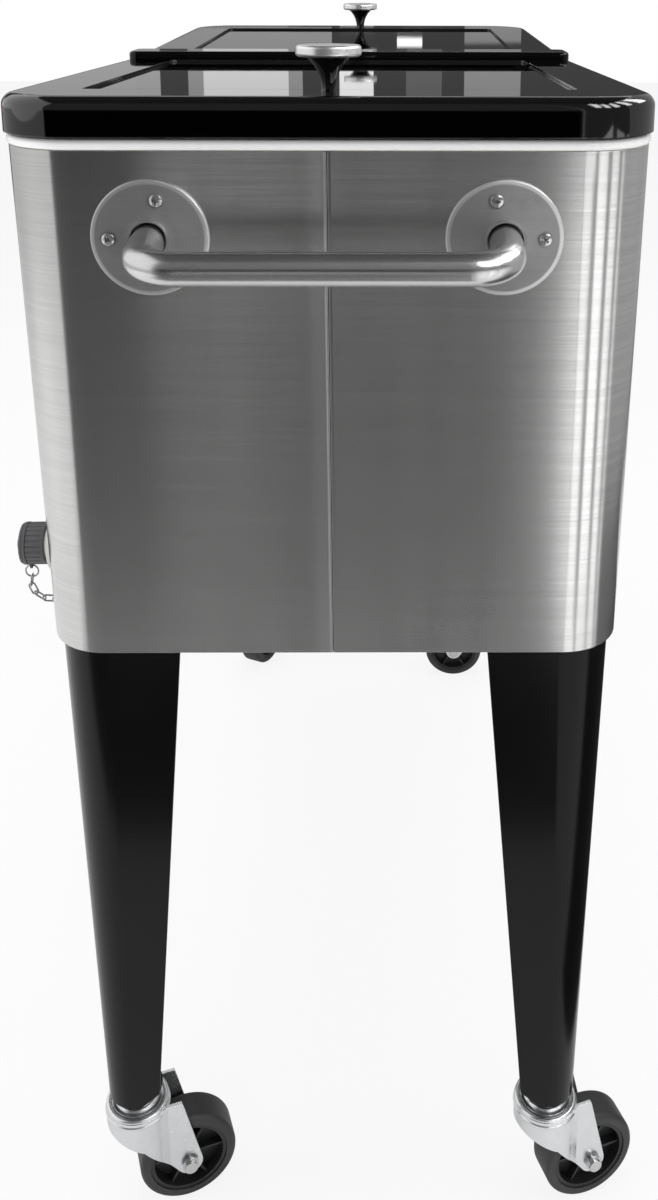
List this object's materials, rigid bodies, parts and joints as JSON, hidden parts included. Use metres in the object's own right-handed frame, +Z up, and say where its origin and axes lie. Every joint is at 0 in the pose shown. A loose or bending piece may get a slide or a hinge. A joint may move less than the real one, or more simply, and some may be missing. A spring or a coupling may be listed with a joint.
{
  "type": "rolling drinks cooler",
  "caption": "Stainless steel drinks cooler on tapered black legs with swivel casters, split gloss lids hinged on a centre bar, end handles and a screw-capped drain.",
  "frame": {"origin": "on the floor under the middle of the cooler", "axes": "+X along the cooler from the end nearest the camera to the far end, +Y towards the side with the drain, +Z up"},
  "size_m": [0.9616, 0.4501, 0.8975],
  "materials": {
    "tub_white": "smooth",
    "foam": "cellular",
    "steel_sheet": "brushed",
    "rim_plastic": "satin",
    "black_enamel": "high gloss",
    "seal_rubber": "matt",
    "black_moulding": "glossy",
    "satin_steel": "satin",
    "screw_steel": "bright",
    "zinc_plate": "zinc plated",
    "wheel_core": "moulded",
    "tyre_rubber": "smooth tread",
    "spout_plastic": "moulded",
    "charcoal_plastic": "ribbed",
    "opener_steel": "pressed"
  },
  "bodies": {
    "cooler": {"tub_liner": "tub_white", "foam_jacket": "foam", "wrap_front": "steel_sheet", "wrap_back": "steel_sheet", "bottom_pan": "steel_sheet", "cap_catcher": "steel_sheet", "rim_trim": "rim_plastic", "hinge_bar": "black_enamel", "leg_back_left": "black_enamel", "leg_front_left": "black_enamel", "leg_back_right": "black_enamel", "leg_front_right": "black_enamel", "drain_gasket": "seal_rubber", "handle_bar_left": "satin_steel", "handle_bar_right": "satin_steel", "handle_flanges_left": "satin_steel", "handle_flanges_right": "satin_steel", "hinge_pins": "screw_steel", "bar_screws": "screw_steel", "handle_screws": "screw_steel", "leg_bolts": "screw_steel", "opener_screws": "screw_steel", "chain_eyelet": "screw_steel", "drain_chain": "screw_steel", "caster_stem_back_left": "zinc_plate", "caster_stem_front_left": "zinc_plate", "caster_stem_back_right": "zinc_plate", "caster_stem_front_right": "zinc_plate", "drain_spout": "spout_plastic", "drain_nut": "spout_plastic", "bottle_opener": "opener_steel"},
    "lid_left": {"lid_left": "black_enamel", "lid_liner_left": "tub_white", "lid_gasket_left": "seal_rubber", "knob_stem_left": "black_moulding", "knob_cap_left": "satin_steel"},
    "lid_right": {"lid_right": "black_enamel", "lid_liner_right": "tub_white", "lid_gasket_right": "seal_rubber", "knob_stem_right": "black_moulding", "knob_cap_right": "satin_steel"},
    "swivel_back_left": {"fork_back_left": "zinc_plate", "axle_back_left": "screw_steel"},
    "wheel_back_left": {"wheel_back_left": "wheel_core", "tyre_back_left": "tyre_rubber"},
    "swivel_front_left": {"fork_front_left": "zinc_plate", "axle_front_left": "screw_steel"},
    "wheel_front_left": {"wheel_front_left": "wheel_core", "tyre_front_left": "tyre_rubber"},
    "swivel_back_right": {"fork_back_right": "zinc_plate", "axle_back_right": "screw_steel"},
    "wheel_back_right": {"wheel_back_right": "wheel_core", "tyre_back_right": "tyre_rubber"},
    "swivel_front_right": {"fork_front_right": "zinc_plate", "axle_front_right": "screw_steel"},
    "wheel_front_right": {"wheel_front_right": "wheel_core", "tyre_front_right": "tyre_rubber"},
    "cap_carrier": {"cap_ring": "charcoal_plastic"},
    "cap": {"drain_cap": "charcoal_plastic"}
  },
  "joints": [
    {"name": "lid_left_hinge", "type": "hinge", "parent": "cooler", "child": "lid_left", "pos_m": [-0.0235, 0, 0.8585], "axis": [0, 1, 0], "range_deg": [0, 86]},
    {"name": "lid_right_hinge", "type": "hinge", "parent": "cooler", "child": "lid_right", "pos_m": [0.0235, 0, 0.8585], "axis": [0, -1, 0], "range_deg": [0, 86]},
    {"name": "swivel_back_left_turn", "type": "hinge", "parent": "cooler", "child": "swivel_back_left", "pos_m": [-0.3755, 0.1575, 0.0975], "axis": [0, 0, 1], "continuous": true},
    {"name": "wheel_back_left_roll", "type": "hinge", "parent": "swivel_back_left", "child": "wheel_back_left", "pos_m": [-0.36353, 0.12461, 0.0375], "axis": [0.9397, 0.342, 0], "continuous": true},
    {"name": "swivel_front_left_turn", "type": "hinge", "parent": "cooler", "child": "swivel_front_left", "pos_m": [-0.3755, -0.1575, 0.0975], "axis": [0, 0, 1], "continuous": true},
    {"name": "wheel_front_left_roll", "type": "hinge", "parent": "swivel_front_left", "child": "wheel_front_left", "pos_m": [-0.36353, -0.19039, 0.0375], "axis": [0.9397, 0.342, 0], "continuous": true},
    {"name": "swivel_back_right_turn", "type": "hinge", "parent": "cooler", "child": "swivel_back_right", "pos_m": [0.3755, 0.1575, 0.0975], "axis": [0, 0, 1], "continuous": true},
    {"name": "wheel_back_right_roll", "type": "hinge", "parent": "swivel_back_right", "child": "wheel_back_right", "pos_m": [0.40722, 0.14271, 0.0375], "axis": [0.4226, 0.9063, 0], "continuous": true},
    {"name": "swivel_front_right_turn", "type": "hinge", "parent": "cooler", "child": "swivel_front_right", "pos_m": [0.3755, -0.1575, 0.0975], "axis": [0, 0, 1], "continuous": true},
    {"name": "wheel_front_right_roll", "type": "hinge", "parent": "swivel_front_right", "child": "wheel_front_right", "pos_m": [0.3755, -0.1225, 0.0375], "axis": [-1, 0, 0], "continuous": true},
    {"name": "cap_travel", "type": "slide", "parent": "cooler", "child": "cap_carrier", "axis": [0, 0.9998, -0.018], "range_m": [0, 0.006], "deforming": ["drain_chain"]},
    {"name": "cap_turn", "type": "hinge", "parent": "cap_carrier", "child": "cap", "pos_m": [-0.35, 0.1929, 0.554], "axis": [0, 0.9998, -0.018], "range_deg": [0, 720]}
  ],
  "couplings": [
    {"joint": "cap_travel", "follows": "cap_turn", "m_per_rad": 0.00047746}
  ]
}
